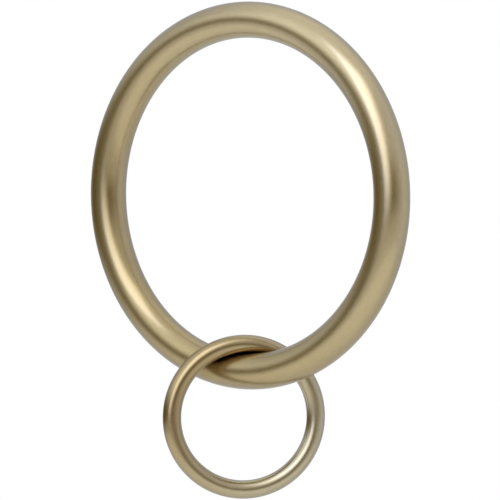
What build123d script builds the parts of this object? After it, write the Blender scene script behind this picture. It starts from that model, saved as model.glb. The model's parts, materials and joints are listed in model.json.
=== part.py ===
from build123d import *
import os
from math import cos, hypot, inf, pi, radians, sin

# Driving dimensions of the curtain ring, in millimetres and degrees.
ring_inside = 43.0      # clear width inside the ring, where the curtain rod passes
bar_diameter = 4.9      # round bar that the ring is bent from
eyelet_inside = 17.4    # clear width inside the eyelet, where the curtain hook goes
wire_diameter = 2.5     # round wire that the eyelet is bent from
hang_clearance = 0.02   # gap between the hanging eyelet and the bar that carries it
eyelet_turn = 46.0      # turn of the eyelet about the vertical, away from the ring's plane

# Accuracy of the search for the height at which the eyelet hangs.
points_on_wire = 720
height_accuracy = 1e-6

# Centre lines of the bar and the wire, and how near these two lines may come to each other.
ring_radius = (ring_inside + bar_diameter) / 2
eyelet_radius = (eyelet_inside + wire_diameter) / 2
line_spacing = (bar_diameter + wire_diameter) / 2 + hang_clearance


def nearest_lines(height):
    """Least distance between the two centre lines with the eyelet's centre at this height."""
    least = inf
    for point in range(points_on_wire):
        angle = 2 * pi * point / points_on_wire
        level = eyelet_radius * cos(angle)
        x = level * cos(radians(eyelet_turn))
        y = level * sin(radians(eyelet_turn))
        z = height + eyelet_radius * sin(angle)
        least = min(least, hypot(hypot(x, z) - ring_radius, y))
    return least


def hanging_height():
    """Height of the eyelet's centre when it hangs as low as the bar lets its wire come."""
    too_low = line_spacing - ring_radius - eyelet_radius
    clear = -ring_radius
    while clear - too_low > height_accuracy:
        middle = (too_low + clear) / 2
        if nearest_lines(middle) < line_spacing:
            too_low = middle
        else:
            clear = middle
    return clear


# The ring is a round bar bent to a full circle and closed flush. It stands in the XZ plane,
# round the rod's line Y, with its centre at the origin. The section is drawn on the -X side, so
# that it starts, and the face closes, on the inside of the ring.
with BuildPart() as curtain_ring:
    with BuildSketch(Plane.XY) as bar_section:
        with Locations((-ring_radius, 0)):
            Circle(bar_diameter / 2)
    revolve(axis=Axis.Y)

# The eyelet is a lighter wire ring linked through the first one. Its wire lies on the inside of
# the bar at the lowest point, and its hook hole hangs free below the bar.
eyelet_level = Plane(
    origin=(0, 0, hanging_height()),
    x_dir=(cos(radians(eyelet_turn)), sin(radians(eyelet_turn)), 0),
    z_dir=(0, 0, 1),
)
with BuildPart() as eyelet_ring:
    with BuildSketch(eyelet_level) as wire_section:
        with Locations((-eyelet_radius, 0)):
            Circle(wire_diameter / 2)
    revolve(axis=Axis(eyelet_level.origin, eyelet_level.y_dir))

curtain_ring.part.label = "curtain_ring"
eyelet_ring.part.label = "eyelet_ring"

os.makedirs("parts", exist_ok=True)
export_step(curtain_ring.part, "parts/curtain_ring.step")
export_step(eyelet_ring.part, "parts/eyelet_ring.step")

print(f"eyelet's centre hangs {-eyelet_level.origin.Z:.3f} mm below the ring's centre")
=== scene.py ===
# %% [markdown]
# # An eyelet curtain ring in satin brass
# A curtain ring is two rings of round metal. A stout bar is bent to the large ring, which slides
# on the curtain rod, and a thinner wire is bent to the eyelet, which hangs in it and takes the
# curtain's hook. Both are plated in the same pale, silky brass colour and lacquered.
#
# The solid model already holds the sizes, the places and the one joint. This script loads it as
# a fixed frame and gives the metal its finish, its light and the picture's point of view.

# %% Load the solid model as a fixed frame
import json
from math import cos, pi, radians, sin

import bpy
from mathutils import Matrix, Vector


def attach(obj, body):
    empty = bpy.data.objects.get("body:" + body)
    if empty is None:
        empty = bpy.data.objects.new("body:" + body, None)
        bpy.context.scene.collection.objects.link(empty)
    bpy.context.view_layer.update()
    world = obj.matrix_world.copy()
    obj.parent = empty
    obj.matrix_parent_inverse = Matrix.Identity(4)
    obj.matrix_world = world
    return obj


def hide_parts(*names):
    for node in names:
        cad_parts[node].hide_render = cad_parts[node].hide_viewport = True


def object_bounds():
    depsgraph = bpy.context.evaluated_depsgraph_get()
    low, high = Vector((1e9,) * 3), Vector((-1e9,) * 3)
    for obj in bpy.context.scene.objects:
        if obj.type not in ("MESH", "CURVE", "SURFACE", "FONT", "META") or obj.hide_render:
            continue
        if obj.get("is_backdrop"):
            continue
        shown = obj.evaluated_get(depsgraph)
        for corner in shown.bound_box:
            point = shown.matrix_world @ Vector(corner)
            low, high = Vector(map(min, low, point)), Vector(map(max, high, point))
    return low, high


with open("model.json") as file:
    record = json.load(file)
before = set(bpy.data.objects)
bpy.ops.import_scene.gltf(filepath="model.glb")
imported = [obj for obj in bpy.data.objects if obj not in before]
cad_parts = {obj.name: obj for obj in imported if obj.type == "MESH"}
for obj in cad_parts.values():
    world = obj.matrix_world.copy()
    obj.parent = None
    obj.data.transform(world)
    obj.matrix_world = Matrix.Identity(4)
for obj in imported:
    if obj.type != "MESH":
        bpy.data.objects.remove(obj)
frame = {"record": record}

solid_low, solid_high = (Vector(corner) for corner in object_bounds())
print("solid model from", tuple(solid_low), "to", tuple(solid_high))

# %% [markdown]
# ## The sizes of the two rings
# The packed record states where the rod and the hook pass, with the free radius of each ring and
# the thickness of its metal. Everything below takes its sizes from these two entries, so the
# dressed rings always match the solids. Only the plating is added, about a hundredth of a
# millimetre, which lets the hanging eyelet touch the bar as the real one does. Here and below,
# lengths are in metres.

# %% Read the two rings' sizes from the record
MILLIMETRE = 0.001
PLATE_THICKNESS = 0.012 * MILLIMETRE
passages = {mount["name"]: mount for mount in frame["record"]["mounts"]}


def ring_sizes(passage):
    """Centre, axis, centre-line radius and metal radius of the ring round this passage, in metres."""
    metal_radius = passage["dims"]["length_mm"] / 2 * MILLIMETRE
    free_radius = passage["dims"]["r_mm"] * MILLIMETRE
    return {
        "centre": Vector(passage["pos_m"]),
        "axis": Vector(passage["axis"]).normalized(),
        "radius": free_radius + metal_radius,
        "metal": metal_radius + PLATE_THICKNESS,
    }


large_ring = ring_sizes(passages["rod_passage"])
eyelet = ring_sizes(passages["hook_eye"])
for name, ring in (("large ring", large_ring), ("eyelet", eyelet)):
    radius = ring["radius"] / MILLIMETRE
    thickness = 2 * ring["metal"] / MILLIMETRE
    print(f"{name}: radius {radius:.2f} mm, metal {thickness:.2f} mm thick")

# %% [markdown]
# ## The camera
# A product picture like this is taken with a long lens from a little distance, so the rings show
# almost no perspective. The camera stands round to the right of the ring's face and a little
# above its middle. Its place is written as angles round the point that it aims at, and the lens
# follows from the width of the picture at that point. Only the sensor and the lens are in
# millimetres, as on a real camera.

# %% Place the camera
CAMERA_AZIMUTH = radians(36.32)
CAMERA_ELEVATION = radians(2.59)
CAMERA_ROLL = radians(0.854)
CAMERA_DISTANCE = 0.700
CAMERA_AIM = Vector((0.00059, 0.0, -0.00738))
PICTURE_WIDTH = 0.06807
SENSOR_WIDTH = 36.0


def direction(azimuth, elevation):
    """Unit vector to a place round the object. Azimuth 0 is in front, on -Y, and grows to the right."""
    level = cos(elevation)
    return Vector((sin(azimuth) * level, -cos(azimuth) * level, sin(elevation)))


camera_back = direction(CAMERA_AZIMUTH, CAMERA_ELEVATION)
camera_data = bpy.data.cameras.new("picture_camera")
camera_data.sensor_width = SENSOR_WIDTH
camera_data.lens = SENSOR_WIDTH * CAMERA_DISTANCE / PICTURE_WIDTH
camera = bpy.data.objects.new("picture_camera", camera_data)
bpy.context.scene.collection.objects.link(camera)
upright = (-camera_back).to_track_quat("-Z", "Y").to_matrix().to_4x4()
place = Matrix.Translation(CAMERA_AIM + camera_back * CAMERA_DISTANCE)
camera.matrix_world = place @ upright @ Matrix.Rotation(CAMERA_ROLL, 4, "Z")
bpy.context.scene.camera = camera
print(f"camera lens {camera_data.lens:.1f} mm at {CAMERA_DISTANCE / MILLIMETRE:.0f} mm")

# %% [markdown]
# ## Writing nodes
# The table, the room, the finish and the rings' shape are all trees of nodes, and a tree written one
# node and one link at a time is long to read. This small writer adds a node and feeds its sockets in
# one line, so that each tree below reads as a recipe. It works on any kind of tree.

# %% Make a writer of nodes


class NodeWriter:
    """Writes nodes into one tree. A value is a socket to link, or a plain number, colour or vector."""

    def __init__(self, tree):
        self.nodes, self.links = tree.nodes, tree.links

    def add(self, kind, **settings):
        """A new node of this kind, with some of its settings."""
        node = self.nodes.new(kind)
        for name, setting in settings.items():
            setattr(node, name, setting)
        return node

    def feed(self, socket, value):
        """Links a socket to a value, or sets it to a plain one."""
        if isinstance(value, bpy.types.NodeSocket):
            self.links.new(value, socket)
        else:
            socket.default_value = value

    def feed_in_order(self, node, values):
        """Feeds a node's first sockets."""
        for socket, value in zip(node.inputs, values):
            self.feed(socket, value)

    def feed_by_name(self, node, **values):
        """Feeds a node's sockets by their names, with _ for a space."""
        for name, value in values.items():
            self.feed(node.inputs[name.replace("_", " ")], value)

    def math(self, operation, *values, clamp=False):
        """One Math node."""
        node = self.add("ShaderNodeMath", operation=operation, use_clamp=clamp)
        self.feed_in_order(node, values)
        return node.outputs["Value"]

    def vector_math(self, operation, *values):
        """One Vector Math node, whose result is its Vector or its Value."""
        node = self.add("ShaderNodeVectorMath", operation=operation)
        self.feed_in_order(node, values)
        return node.outputs

    def ramp(self, value, start=0.0, end=1.0, low=0.0, high=1.0, kind="LINEAR", clamp=True):
        """A value that goes from low at the start to high at the end."""
        node = self.add("ShaderNodeMapRange", interpolation_type=kind, clamp=clamp)
        self.feed_by_name(node, Value=value, From_Min=start, From_Max=end, To_Min=low, To_Max=high)
        return node.outputs["Result"]

    def fade(self, value, start, end, low=0.0, high=1.0):
        """A ramp that starts and ends softly."""
        return self.ramp(value, start, end, low, high, kind="SMOOTHSTEP")

    def mix(self, kind, factor, first, second):
        """One Mix node for colours."""
        node = self.add("ShaderNodeMix", data_type="RGBA", blend_type=kind)
        self.feed_by_name(node, Factor=factor, A=first, B=second)
        return node.outputs["Result"]

    def choose(self, factor, first, second):
        """The first shader where the factor is 0, and the second where it is 1."""
        node = self.add("ShaderNodeMixShader")
        self.feed_in_order(node, (factor, first, second))
        return node.outputs["Shader"]


print("node writer:", [name for name in vars(NodeWriter) if not name.startswith("_")])

# %% [markdown]
# ## The stage
# Metal shows almost nothing but what it mirrors, so the surroundings are half of its look. Small
# shiny goods are often photographed over a light table, a pale sheet that glows softly from below.
# It is a round disc here, well under the hanging rings, and brighter in front, on the side of the
# soft light. It thins out towards its rim, so that the metal mirrors no hard edge, and its underside
# lets the view through, so the rings can also be looked at from below.

# %% Make the table's pale sheet
TABLE_RADIUS = 0.450
TABLE_THINS_FROM = 0.230
TABLE_WHITE = (0.63, 0.62, 0.585, 1.0)
TABLE_ROUGHNESS = 0.9
TABLE_GLOW = (1.0, 1.0, 1.0, 1.0)
TABLE_GLOW_FRONT = 0.40
TABLE_GLOW_BACK = 0.055
TABLE_BRIGHT_SIDE = radians(-19.0)
TABLE_FADE = 0.116
LEVEL_ONLY = (1.0, 1.0, 0.0)


def light_table_sheet(bright_side):
    """A pale matt sheet that glows more towards one side, thin at its rim and clear from behind."""
    material = bpy.data.materials.new("pale_light_table")
    material.use_nodes = True
    write = NodeWriter(material.node_tree)
    sheet = write.nodes["Principled BSDF"]
    write.feed_by_name(sheet, Base_Color=TABLE_WHITE, Roughness=TABLE_ROUGHNESS)

    place = write.add("ShaderNodeTexCoord").outputs["Object"]
    forward = write.vector_math("DOT_PRODUCT", place, bright_side)["Value"]
    glow = write.fade(forward, -TABLE_FADE, TABLE_FADE, TABLE_GLOW_BACK, TABLE_GLOW_FRONT)
    write.feed_by_name(sheet, Emission_Color=TABLE_GLOW, Emission_Strength=glow)

    from_middle = write.vector_math("MULTIPLY", place, LEVEL_ONLY)["Vector"]
    distance = write.vector_math("LENGTH", from_middle)["Value"]
    thin = write.fade(distance, TABLE_THINS_FROM, TABLE_RADIUS)
    behind = write.add("ShaderNodeNewGeometry").outputs["Backfacing"]
    see_through = write.math("MAXIMUM", thin, behind)
    clear = write.add("ShaderNodeBsdfTransparent").outputs["BSDF"]
    surface = write.choose(see_through, sheet.outputs["BSDF"], clear)
    write.feed_by_name(write.nodes["Material Output"], Surface=surface)
    return material


table_sheet = light_table_sheet(direction(CAMERA_AZIMUTH + TABLE_BRIGHT_SIDE, 0.0))
print("table sheet:", len(table_sheet.node_tree.nodes), "nodes")

# %% Lay the table under the rings
TABLE_DROP = 0.100
TABLE_SIDES = 96

table_height = solid_low.z - TABLE_DROP
angles = [2 * pi * side / TABLE_SIDES for side in range(TABLE_SIDES)]
rim = [(TABLE_RADIUS * cos(angle), TABLE_RADIUS * sin(angle), table_height) for angle in angles]
table_mesh = bpy.data.meshes.new("light_table")
table_mesh.from_pydata(rim, [], [tuple(range(TABLE_SIDES))])
table_mesh.materials.append(table_sheet)
light_table = bpy.data.objects.new("light_table", table_mesh)
bpy.context.scene.collection.objects.link(light_table)
light_table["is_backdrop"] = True
table_width = 2 * TABLE_RADIUS / MILLIMETRE
print(f"light table {table_width:.0f} mm across, {TABLE_DROP / MILLIMETRE:.0f} mm under the eyelet")

# %% [markdown]
# ## The studio
# The room is painted on the world's background, like a map on the inside of a globe. Every place in
# it has an azimuth to the right of the camera and an elevation above it, both in degrees. Fields
# with soft edges are enough: pale walls, brighter and cooler on the right, warmer in front and dimmer
# at the back, a brighter ceiling, and a dim, warm strip at eye level, from the left round to the
# front, which draws the thin dark line along the rings.
#
# Each soft edge is written as two numbers: where its middle is, and half of its width. For a wall
# they are measured along the way that it lies, from -1 to 1, and for the rest in degrees.

# %% Make a painter that works by azimuth and elevation
PICTURE_WHITE = (1.0, 1.0, 1.0, 1.0)


class RoomPaint(NodeWriter):
    """Writes the nodes of the room, with the direction looked in as an azimuth and an elevation."""

    def __init__(self, world, right, up, back):
        world.use_nodes = True
        super().__init__(world.node_tree)
        self.nodes.clear()
        self.look = self.add("ShaderNodeTexCoord").outputs["Generated"]
        to_right, to_up, to_back = (self.along(axis) for axis in (right, up, back))
        self.azimuth = self.math("DEGREES", self.math("ARCTAN2", to_right, to_back))
        self.elevation = self.math("DEGREES", self.math("ARCSINE", to_up))

    def along(self, axis):
        """How far the direction looked in goes along an axis, from -1 to 1."""
        return self.vector_math("DOT_PRODUCT", self.look, axis)["Value"]

    def edge(self, value, middle, half):
        """A soft edge: 0 below the middle, 1 above it, over twice this half-width."""
        return self.fade(value, middle - half, middle + half)

    def band(self, value, low, low_half, high, high_half):
        """1 between two soft edges, 0 outside them."""
        below = self.math("SUBTRACT", 1.0, self.edge(value, high, high_half))
        return self.math("MULTIPLY", self.edge(value, low, low_half), below)

    def finish(self, colour):
        """Reflections and light see the painted room, and the camera sees plain white."""
        room = self.add("ShaderNodeBackground")
        self.feed_by_name(room, Color=colour)
        white = self.add("ShaderNodeBackground")
        self.feed_by_name(white, Color=PICTURE_WHITE)
        in_picture = self.add("ShaderNodeLightPath").outputs["Is Camera Ray"]
        surface = self.choose(in_picture, room.outputs["Background"], white.outputs["Background"])
        self.feed_by_name(self.add("ShaderNodeOutputWorld"), Surface=surface)


camera_right, camera_up = (camera.matrix_world.col[k].to_3d() for k in (0, 1))
studio_room = bpy.data.worlds.new("studio_room")
paint = RoomPaint(studio_room, camera_right, camera_up, camera_back)
print("room measured by azimuth and elevation from the camera")

# %% Paint the walls, the ceiling and the dim strip
LEFT_WALL = (0.72, 0.74, 0.82, 1.0)
RIGHT_WALL = (0.79, 0.82, 0.97, 1.0)
RIGHT_WALL_EDGE = (0.0, 0.5)
FRONT_WALL = (0.69, 0.68, 0.70, 1.0)
FRONT_WALL_EDGE = (0.45, 0.45)
BACK_WALL = (0.55, 0.58, 0.66, 1.0)
BACK_WALL_EDGE = (0.3, 0.6)
CEILING = (1.00, 1.02, 1.09, 1.0)
CEILING_EDGE = (55.9, 22.5)
DIM_STRIP = (0.152, 0.106, 0.008, 1.0)
STRIP_BOTTOM = (-9.5, 6.0)
STRIP_TOP = (11.5, 10.0)
STRIP_LEFT = (-142.0, 34.0)
STRIP_RIGHT = (35.9, 44.3)

room = LEFT_WALL
for colour, position, soft_edge in (
    (RIGHT_WALL, paint.along(camera_right), RIGHT_WALL_EDGE),
    (FRONT_WALL, paint.along(camera_back), FRONT_WALL_EDGE),
    (BACK_WALL, paint.along(-camera_back), BACK_WALL_EDGE),
    (CEILING, paint.elevation, CEILING_EDGE),
):
    room = paint.mix("MIX", paint.edge(position, *soft_edge), room, colour)
strip = paint.math(
    "MULTIPLY",
    paint.band(paint.elevation, *STRIP_BOTTOM, *STRIP_TOP),
    paint.band(paint.azimuth, *STRIP_LEFT, *STRIP_RIGHT),
)
room = paint.mix("MIX", strip, room, DIM_STRIP)
print("walls, ceiling and dim strip painted")

# %% [markdown]
# ## The soft light
# The broad cream highlights come from a tall soft panel to the left of the camera, which leans to
# the right at its top, and from a rounder, wider glow further round to the left. The panel's light is
# cooler on its left side and warmer on its right, so each highlight has a whiter and a more golden
# flank. Both are painted on the room as well, because a painted light can fade out at its edges as
# a diffused lamp does.

# %% Paint the tall panel
PANEL_AZIMUTH = -19.0
PANEL_ELEVATION = 25.9
PANEL_HALF_WIDTH = 17.3
PANEL_LEFT_EDGE = 4.0
PANEL_RIGHT_EDGE = 12.0
PANEL_HALF_HEIGHT = 28.9
PANEL_END_EDGE = 8.0
PANEL_LEAN = 0.38
PANEL_COOL_SIDE = (1.62, 1.84, 2.80, 1.0)
PANEL_WARM_SIDE = (1.68, 1.72, 1.98, 1.0)
PANEL_HUE_EDGE = (0.0, 20.0)

rise = paint.math("SUBTRACT", paint.elevation, PANEL_ELEVATION)
upright_azimuth = paint.math("MULTIPLY_ADD", rise, -PANEL_LEAN, paint.azimuth)
narrowing = paint.math("COSINE", paint.math("RADIANS", paint.elevation))
across = paint.math("MULTIPLY", paint.math("SUBTRACT", upright_azimuth, PANEL_AZIMUTH), narrowing)
panel = paint.math(
    "MULTIPLY",
    paint.band(across, -PANEL_HALF_WIDTH, PANEL_LEFT_EDGE, PANEL_HALF_WIDTH, PANEL_RIGHT_EDGE),
    paint.band(rise, -PANEL_HALF_HEIGHT, PANEL_END_EDGE, PANEL_HALF_HEIGHT, PANEL_END_EDGE),
)
panel_hue = paint.edge(across, *PANEL_HUE_EDGE)
panel_light = paint.mix("MIX", panel_hue, PANEL_COOL_SIDE, PANEL_WARM_SIDE)
room = paint.mix("ADD", panel, room, panel_light)
print(f"panel {2 * PANEL_HALF_WIDTH:.0f} degrees wide and {2 * PANEL_HALF_HEIGHT:.0f} degrees tall")

# %% Paint the wide glow and finish the room
GLOW_AZIMUTH = radians(-55.6)
GLOW_ELEVATION = radians(31.4)
GLOW_SPREAD = radians(25.0)
GLOW_LIGHT = (0.65, 0.73, 0.86, 1.0)

level = cos(GLOW_ELEVATION)
glow_centre = camera_right * sin(GLOW_AZIMUTH) * level + camera_back * cos(GLOW_AZIMUTH) * level
glow_centre += camera_up * sin(GLOW_ELEVATION)
off_centre = paint.math("SUBTRACT", paint.along(glow_centre), 1.0)
glow = paint.math("EXPONENT", paint.math("DIVIDE", off_centre, 1.0 - cos(GLOW_SPREAD)))
room = paint.mix("ADD", glow, room, GLOW_LIGHT)

paint.finish(room)
bpy.context.scene.world = studio_room
bpy.context.scene.view_settings.view_transform = "Standard"
print("studio:", len(studio_room.node_tree.nodes), "nodes, camera background plain white")

# %% [markdown]
# ## How the finish varies
# Satin metal is brushed before it is plated, so it keeps a very fine grain that runs along the bar.
# The plating's tone also drifts a little at random, in faint clouds. Over these clouds each ring is
# painted paler and cooler on one side and warmer on the other, as painted light from that side. Both
# rings share these effects, so they are one node group.
#
# Bent metal has no flat sheet to draw on. The rings carry two attributes instead: how far along
# the bar a point is, and how far round it, each as the cosine and sine of an angle. Noise read
# from these four numbers joins up with itself everywhere, with no seam. A third attribute holds the
# way that the bar runs, which is the way that it was brushed.

# %% Read noise along and round a bent bar
ALONG = "along_bar"
ROUND = "round_bar"
BRUSHED = "brushed_line"


def bar_attribute(write, name):
    """A vector that the rings carry under this name."""
    return write.add("ShaderNodeAttribute", attribute_name=name).outputs["Vector"]


def scaled_pair(write, name, scale):
    """The two numbers of an attribute, times a scale."""
    scaled = write.add("ShaderNodeVectorMath", operation="SCALE")
    write.feed_by_name(scaled, Vector=bar_attribute(write, name), Scale=scale)
    pair = write.add("ShaderNodeSeparateXYZ")
    write.feed_by_name(pair, Vector=scaled.outputs["Vector"])
    return pair.outputs["X"], pair.outputs["Y"]


def noise_on_bar(write, along_scale, round_scale, detail):
    """Noise that runs smoothly along and round a bent bar, stretched by the two scales."""
    along_x, along_y = scaled_pair(write, ALONG, along_scale)
    round_x, round_y = scaled_pair(write, ROUND, round_scale)
    place = write.add("ShaderNodeCombineXYZ")
    write.feed_by_name(place, X=along_x, Y=along_y, Z=round_x)
    noise = write.add("ShaderNodeTexNoise", noise_dimensions="4D")
    write.feed_by_name(noise, Vector=place.outputs["Vector"], W=round_y, Scale=1.0, Detail=detail)
    return noise.outputs["Fac"]


print("attributes that the finish reads:", ALONG, ROUND, BRUSHED)

# %% Build the grain group
GRAIN_DETAIL = 3.0
CLOUD_DETAIL = 2.0
CLOUD_SHARE = 0.3


def add_sockets(tree, kind, *names, output=False):
    """Named sockets of one kind on a node group's interface."""
    for name in names:
        tree.interface.new_socket(name, in_out="OUTPUT" if output else "INPUT", socket_type=kind)


def brushed_grain_group():
    """Fine grain along the bar, and a drift from 0 to 1: faint clouds over a painted light gradient,
    warm on one side of a ring and paler on the other.
    """
    tree = bpy.data.node_groups.new("brushed_grain", "ShaderNodeTree")
    add_sockets(tree, "NodeSocketFloat", "Grain along", "Grain round", "Drift along", "Drift round")
    add_sockets(tree, "NodeSocketVector", "Painted light side")
    add_sockets(tree, "NodeSocketFloat", "Grain", "Drift", output=True)
    write = NodeWriter(tree)
    given = write.add("NodeGroupInput").outputs
    grain = noise_on_bar(write, given["Grain along"], given["Grain round"], GRAIN_DETAIL)
    clouds = noise_on_bar(write, given["Drift along"], given["Drift round"], CLOUD_DETAIL)
    # Painted light: the drift rises towards the given side, which is painted paler and cooler.
    side = write.vector_math("DOT_PRODUCT", bar_attribute(write, ALONG), given["Painted light side"])["Value"]
    painted_light = write.ramp(side, -1.0, 1.0, -CLOUD_SHARE / 2, 1.0 - CLOUD_SHARE / 2, clamp=False)
    drift = write.math("MULTIPLY_ADD", clouds, CLOUD_SHARE, painted_light, clamp=True)
    write.feed_by_name(write.add("NodeGroupOutput"), Grain=grain, Drift=drift)
    return tree


brushed_grain = brushed_grain_group()
print("grain group:", [socket.name for socket in brushed_grain.interface.items_tree])

# %% [markdown]
# ## Painted shade between the rings
# Where the eyelet and the bar shield each other, the base colour is darkened brown to black: this is
# painted shade in the crevice between the rings. An Ambient Occlusion node finds such places,
# wherever the eyelet hangs, and a colour ramp turns how open a place is into the painted tone
# there. How far the painted shade reaches is an input, shorter round the thin wire than into the
# crook of the bar.

# %% Build the painted crevice shade group
CREVICE_SHADE_TONES = (
    (0.10, (0.050, 0.025, 0.005, 1.0)),
    (0.45, (0.680, 0.570, 0.350, 1.0)),
    (0.95, (1.000, 1.000, 1.000, 1.0)),
)


def painted_crevice_shade_group():
    """Painted shade: a tone that is brown to black where the rings are close, white elsewhere."""
    tree = bpy.data.node_groups.new("painted_crevice_shade", "ShaderNodeTree")
    add_sockets(tree, "NodeSocketFloat", "Reach")
    add_sockets(tree, "NodeSocketColor", "Tone", output=True)
    write = NodeWriter(tree)
    given = write.add("NodeGroupInput").outputs
    # Painted shade: the less open a place is, the darker the tone painted there.
    openness = write.add("ShaderNodeAmbientOcclusion")
    write.feed_by_name(openness, Distance=given["Reach"])
    tones = write.add("ShaderNodeValToRGB")
    write.feed_by_name(tones, Fac=openness.outputs["AO"])
    stops = tones.color_ramp.elements
    middle_place = CREVICE_SHADE_TONES[1][0]
    stops.new(middle_place)
    for stop, (place, tone) in zip(stops, CREVICE_SHADE_TONES):
        stop.position = place
        stop.color = tone
    write.feed_by_name(write.add("NodeGroupOutput"), Tone=tones.outputs["Color"])
    return tree


painted_crevice_shade = painted_crevice_shade_group()
print("patina group:", [socket.name for socket in painted_crevice_shade.interface.items_tree])

# %% [markdown]
# ## Satin brass plate
# The plating is metal, so its colour is in its reflections. It is brushed along the bar, which blurs
# what it mirrors more across the bar than along it. The grain roughens it and dents it by a
# thousandth of a millimetre at most, and the drift moves its tone a little between a warmer and
# a paler brass, partly in random clouds and partly as painted light from one side. A thin clear
# lacquer lies over it, which is why the highlights are whiter than the metal. Bar and wire have the
# same finish in their own measure.

# %% Describe the plating of the bar and of the wire
BAR_PLATING = {
    "warm": (0.408, 0.311, 0.136, 1.0),
    "pale": (0.497, 0.404, 0.216, 1.0),
    # the tone is painted paler and cooler towards this side, as painted light
    "painted light side": radians(131.0),
    "roughness": 0.25,
    "brushed stretch": 0.65,
    # painted shade between the rings reaches this far
    "crevice shade reach": 4.0 * MILLIMETRE,
    "grain": {"Grain along": 26.0, "Grain round": 30.0, "Drift along": 4.0, "Drift round": 0.8},
}
WIRE_PLATING = {
    "warm": (0.364, 0.265, 0.109, 1.0),
    "pale": (0.465, 0.403, 0.248, 1.0),
    # the tone is painted paler and cooler towards this side, as painted light
    "painted light side": radians(214.0),
    "roughness": 0.235,
    "brushed stretch": 0.30,
    # painted shade between the rings reaches this far
    "crevice shade reach": 1.2 * MILLIMETRE,
    "grain": {"Grain along": 14.0, "Grain round": 18.0, "Drift along": 3.0, "Drift round": 0.8},
}
for name, plating in (("bar", BAR_PLATING), ("wire", WIRE_PLATING)):
    print(f"{name}: roughness {plating['roughness']}, grain {plating['grain']}")

# %% Build the two plated finishes
RIM_TINT = (0.88, 0.87, 0.85, 1.0)
LACQUER_WEIGHT = 0.90
LACQUER_ROUGHNESS = 0.26
ACROSS_THE_LINE = 0.25
STREAK_TONE = 0.22
SILK_SPREAD = 0.12
GRAIN_DEPTH = 0.001 * MILLIMETRE


def place_group(write, tree, values):
    """A node group in a material, with its own values. Gives the group's outputs."""
    group = write.add("ShaderNodeGroup", node_tree=tree)
    for name, value in values.items():
        group.inputs[name].default_value = value
    return group.outputs


def satin_brass(name, plating):
    """Plated satin brass for one bar or wire, with its own tones, silkiness, brushing and grain."""
    material = bpy.data.materials.new(name)
    material.use_nodes = True
    write = NodeWriter(material.node_tree)
    metal = write.nodes["Principled BSDF"]
    write.feed_by_name(metal, Metallic=1.0, Specular_Tint=RIM_TINT)
    write.feed_by_name(metal, Coat_Weight=LACQUER_WEIGHT, Coat_Roughness=LACQUER_ROUGHNESS)

    stretch = plating["brushed stretch"]
    in_room = write.add(
        "ShaderNodeVectorTransform", vector_type="VECTOR", convert_from="OBJECT", convert_to="WORLD"
    )
    write.feed_by_name(in_room, Vector=bar_attribute(write, BRUSHED))
    write.feed_by_name(metal, Anisotropic=stretch, Anisotropic_Rotation=ACROSS_THE_LINE)
    write.feed_by_name(metal, Tangent=in_room.outputs["Vector"])

    # Painted light: the side of the ring that is painted paler and cooler, with the other side warmer.
    painted_light_side = Vector((cos(plating["painted light side"]), sin(plating["painted light side"]), 0.0))
    finish = place_group(write, brushed_grain, {**plating["grain"], "Painted light side": painted_light_side})
    # Painted shade: the base colour is darkened brown to black where the eyelet and the bar shield each
    # other.
    painted_shade = place_group(write, painted_crevice_shade, {"Reach": plating["crevice shade reach"]})
    tone = write.mix("MIX", finish["Drift"], plating["warm"], plating["pale"])
    streaks = write.ramp(finish["Grain"], low=1.0 - STREAK_TONE, high=1.0 + STREAK_TONE)
    tone = write.mix("MULTIPLY", 1.0, tone, streaks)
    tone = write.mix("MULTIPLY", 1.0, tone, painted_shade["Tone"])

    silkiest = plating["roughness"] * (1.0 - SILK_SPREAD)
    roughest = plating["roughness"] * (1.0 + SILK_SPREAD)
    silk = write.ramp(finish["Grain"], low=silkiest, high=roughest)
    dents = write.add("ShaderNodeBump")
    write.feed_by_name(dents, Distance=GRAIN_DEPTH, Height=finish["Grain"])
    write.feed_by_name(metal, Base_Color=tone, Roughness=silk, Normal=dents.outputs["Normal"])
    return material


bar_finish = satin_brass("satin_brass_bar", BAR_PLATING)
wire_finish = satin_brass("satin_brass_wire", WIRE_PLATING)
print("finishes:", bar_finish.name, wire_finish.name)

# %% [markdown]
# ## Bending the metal
# Each ring follows one rule: a round section carried round a circle. Geometry Nodes write that rule
# once, with the sizes as inputs. A circle is the centre line, a smaller circle is the section, and
# Curve to Mesh carries one along the other. On the way the tree stores the three attributes that the
# finish reads: how far along and how far round the metal each point lies, and which way it is brushed.

# %% Mark how far along and round each point lies


def cosine_and_sine(write, factor):
    """A vector of the cosine and the sine of a whole turn times the factor."""
    angle = write.math("MULTIPLY", factor, 2 * pi)
    pair = write.add("ShaderNodeCombineXYZ")
    write.feed_by_name(pair, X=write.math("COSINE", angle), Y=write.math("SINE", angle))
    return pair.outputs["Vector"]


def marked_circle(write, steps, radius):
    """A circle curve, and fields for how far along it a point is, from 0 to 1, and which way it runs."""
    circle = write.add("GeometryNodeCurvePrimitiveCircle")
    write.feed_by_name(circle, Resolution=steps, Radius=radius)
    factor = write.add("GeometryNodeSplineParameter").outputs["Factor"]
    line = write.add("GeometryNodeInputTangent").outputs["Tangent"]
    mark = write.add("GeometryNodeCaptureAttribute")
    mark.capture_items.new("FLOAT", "Factor")
    mark.capture_items.new("VECTOR", "Line")
    write.feed_by_name(mark, Geometry=circle.outputs["Curve"], Factor=factor, Line=line)
    return mark.outputs["Geometry"], mark.outputs["Factor"], mark.outputs["Line"]


def store_on_points(write, geometry, name, value):
    """Stores a vector on every point of the mesh under this name."""
    store = write.add("GeometryNodeStoreNamedAttribute", data_type="FLOAT_VECTOR", domain="POINT")
    write.feed_by_name(store, Geometry=geometry, Name=name, Value=value)
    return store.outputs["Geometry"]


print("each ring will carry:", ALONG, ROUND, BRUSHED)

# %% Write the bending rule


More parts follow.
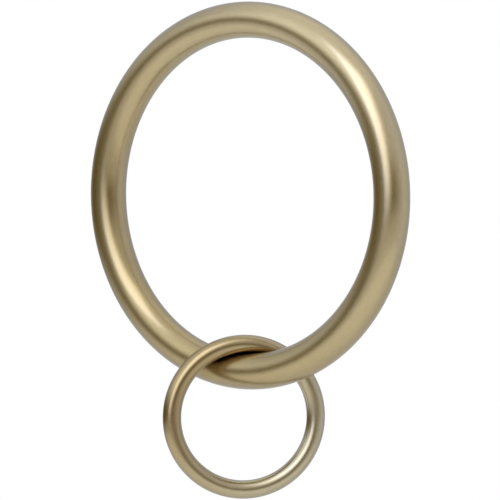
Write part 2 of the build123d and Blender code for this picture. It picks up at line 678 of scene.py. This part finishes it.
def bent_ring_tree():
    """A round section carried round a circle, turned and placed, with its finish."""
    tree = bpy.data.node_groups.new("bent_ring", "GeometryNodeTree")
    add_sockets(tree, "NodeSocketGeometry", "Geometry")
    add_sockets(tree, "NodeSocketFloat", "Ring radius", "Metal radius")
    add_sockets(tree, "NodeSocketInt", "Steps along", "Steps round")
    add_sockets(tree, "NodeSocketVector", "Centre")
    add_sockets(tree, "NodeSocketRotation", "Turn")
    add_sockets(tree, "NodeSocketMaterial", "Finish")
    add_sockets(tree, "NodeSocketGeometry", "Geometry", output=True)
    write = NodeWriter(tree)
    given = write.add("NodeGroupInput").outputs

    centre_line, along, line = marked_circle(write, given["Steps along"], given["Ring radius"])
    section, around, _ = marked_circle(write, given["Steps round"], given["Metal radius"])
    bend = write.add("GeometryNodeCurveToMesh")
    write.feed_by_name(bend, Curve=centre_line, Profile_Curve=section)
    brushed = write.add("FunctionNodeRotateVector")
    write.feed_by_name(brushed, Vector=line, Rotation=given["Turn"])
    metal = store_on_points(write, bend.outputs["Mesh"], ALONG, cosine_and_sine(write, along))
    metal = store_on_points(write, metal, ROUND, cosine_and_sine(write, around))
    metal = store_on_points(write, metal, BRUSHED, brushed.outputs["Vector"])

    smooth = write.add("GeometryNodeSetShadeSmooth")
    write.feed_by_name(smooth, Geometry=metal)
    put = write.add("GeometryNodeTransform")
    write.feed_by_name(put, Geometry=smooth.outputs["Geometry"])
    write.feed_by_name(put, Translation=given["Centre"], Rotation=given["Turn"])
    real = write.add("GeometryNodeRealizeInstances")
    write.feed_by_name(real, Geometry=put.outputs["Geometry"])
    plate = write.add("GeometryNodeSetMaterial")
    write.feed_by_name(plate, Geometry=real.outputs["Geometry"], Material=given["Finish"])
    write.feed_by_name(write.add("NodeGroupOutput"), Geometry=plate.outputs["Geometry"])
    return tree


bent_ring = bent_ring_tree()
print("bending rule:", len(bent_ring.nodes), "nodes")

# %% [markdown]
# ## The two pieces
# The tree runs once for each ring, with that ring's own sizes, and its result becomes a plain mesh.
# Each piece then takes its solid's place, and rides on that solid's body, so it moves as it does.

# %% Bend and plate both rings
STEPS_ALONG = 288
STEPS_ROUND = 64


def bend_ring(name, sizes, finish):
    """One ring as a plain mesh object at the origin, made by the bending rule."""
    blank = bpy.data.objects.new(name + "_blank", bpy.data.meshes.new(name + "_blank"))
    bpy.context.scene.collection.objects.link(blank)
    modifier = blank.modifiers.new("bent_ring", "NODES")
    modifier.node_group = bent_ring
    values = {
        "Ring radius": sizes["radius"],
        "Metal radius": sizes["metal"],
        "Steps along": STEPS_ALONG,
        "Steps round": STEPS_ROUND,
        "Centre": sizes["centre"],
        "Turn": sizes["axis"].to_track_quat("Z", "Y").to_euler(),
        "Finish": finish,
    }
    for socket in bent_ring.interface.items_tree:
        if socket.in_out == "INPUT" and socket.name in values:
            modifier[socket.identifier] = values[socket.name]
    bpy.context.view_layer.update()
    evaluated = blank.evaluated_get(bpy.context.evaluated_depsgraph_get())
    mesh = bpy.data.meshes.new_from_object(evaluated)
    mesh.name = name
    bpy.data.objects.remove(blank)
    piece = bpy.data.objects.new(name, mesh)
    bpy.context.scene.collection.objects.link(piece)
    print(f"{name}: {len(mesh.polygons)} faces, finish {mesh.materials[0].name}")
    return piece


plated_ring = bend_ring("plated_curtain_ring", large_ring, bar_finish)
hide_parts("curtain_ring")
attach(plated_ring, "ring")

plated_eyelet = bend_ring("plated_eyelet_ring", eyelet, wire_finish)
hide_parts("eyelet_ring")
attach(plated_eyelet, "eyelet")

# %% [markdown]
# ## The size
# The dressed rings must fill the same box as the solids. The solids' box is printed where they are
# loaded.
